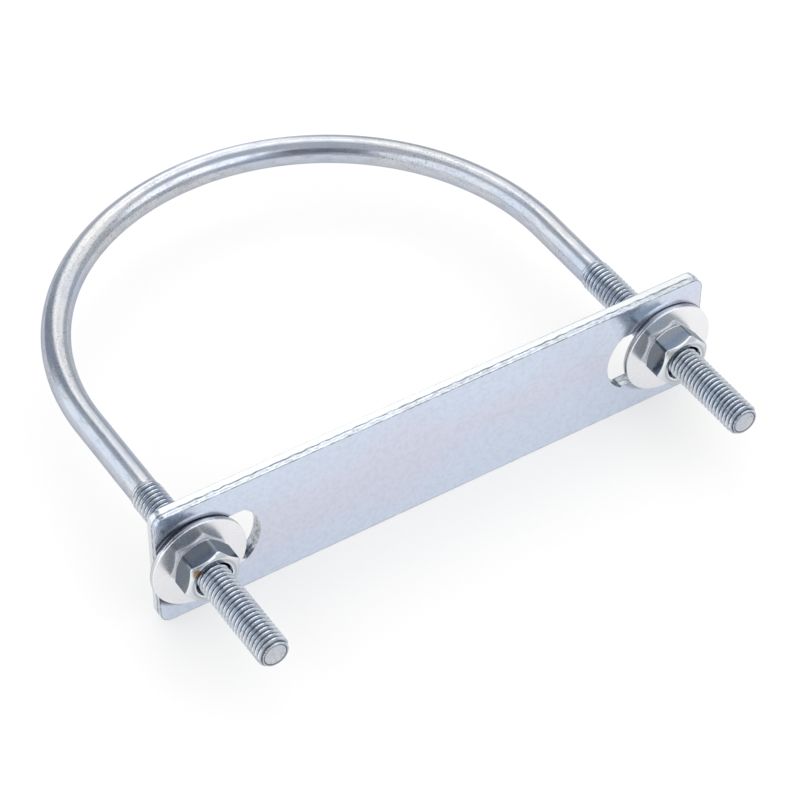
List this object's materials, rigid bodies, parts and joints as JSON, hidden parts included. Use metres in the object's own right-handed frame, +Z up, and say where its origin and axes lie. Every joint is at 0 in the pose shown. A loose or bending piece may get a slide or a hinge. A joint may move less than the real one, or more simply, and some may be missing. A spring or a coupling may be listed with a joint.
{
  "type": "u-bolt",
  "caption": "Round-bar U-bolt with threaded legs, slotted flat strap, wide washers and hex nuts, for clamping a pipe or post.",
  "frame": {"origin": "bottom centre of the assembly's bounding box, on the strap's lower edge, with the U lying level", "axes": "+X along the strap from the left leg to the right leg, +Y from the strap towards the bend, +Z up across the strap's width; the stud tips point along -Y"},
  "size_m": [0.152, 0.1516, 0.033],
  "materials": {
    "rod_zinc": "bright zinc plate on cold-drawn round bar, polished, with rolled threads",
    "strap_zinc": "blue-passivated zinc plate on flat steel bar, satin, with burnished sheared edges",
    "washer_zinc": "bright zinc plate, near-mirror",
    "nut_zinc": "zinc plate, smooth, with bright chamfers"
  },
  "bodies": {
    "rod": {"u_rod": "rod_zinc"},
    "strap": {"strap_plate": "strap_zinc"},
    "left_washer": {"washer_left": "washer_zinc"},
    "right_washer": {"washer_right": "washer_zinc"},
    "left_nut": {"nut_left": "nut_zinc"},
    "right_nut": {"nut_right": "nut_zinc"}
  },
  "joints": [
    {"name": "strap_slide", "type": "slide", "parent": "rod", "child": "strap", "axis": [0, 1, 0], "range_m": [0, 0.08]},
    {"name": "left_nut_travel", "type": "slide", "parent": "rod", "child": "left_washer", "axis": [0, -1, 0], "range_m": [0, 0.024]},
    {"name": "left_nut_turn", "type": "hinge", "parent": "left_washer", "child": "left_nut", "pos_m": [-0.064, -0.04655, 0.0165], "axis": [0, -1, 0], "range_deg": [0, 6900]},
    {"name": "right_nut_travel", "type": "slide", "parent": "rod", "child": "right_washer", "axis": [0, -1, 0], "range_m": [0, 0.022]},
    {"name": "right_nut_turn", "type": "hinge", "parent": "right_washer", "child": "right_nut", "pos_m": [0.064, -0.04655, 0.0165], "axis": [0, -1, 0], "range_deg": [0, 6330]}
  ],
  "couplings": [
    {"joint": "left_nut_travel", "follows": "left_nut_turn", "m_per_rad": 0.00019894},
    {"joint": "right_nut_travel", "follows": "right_nut_turn", "m_per_rad": 0.00019894}
  ]
}
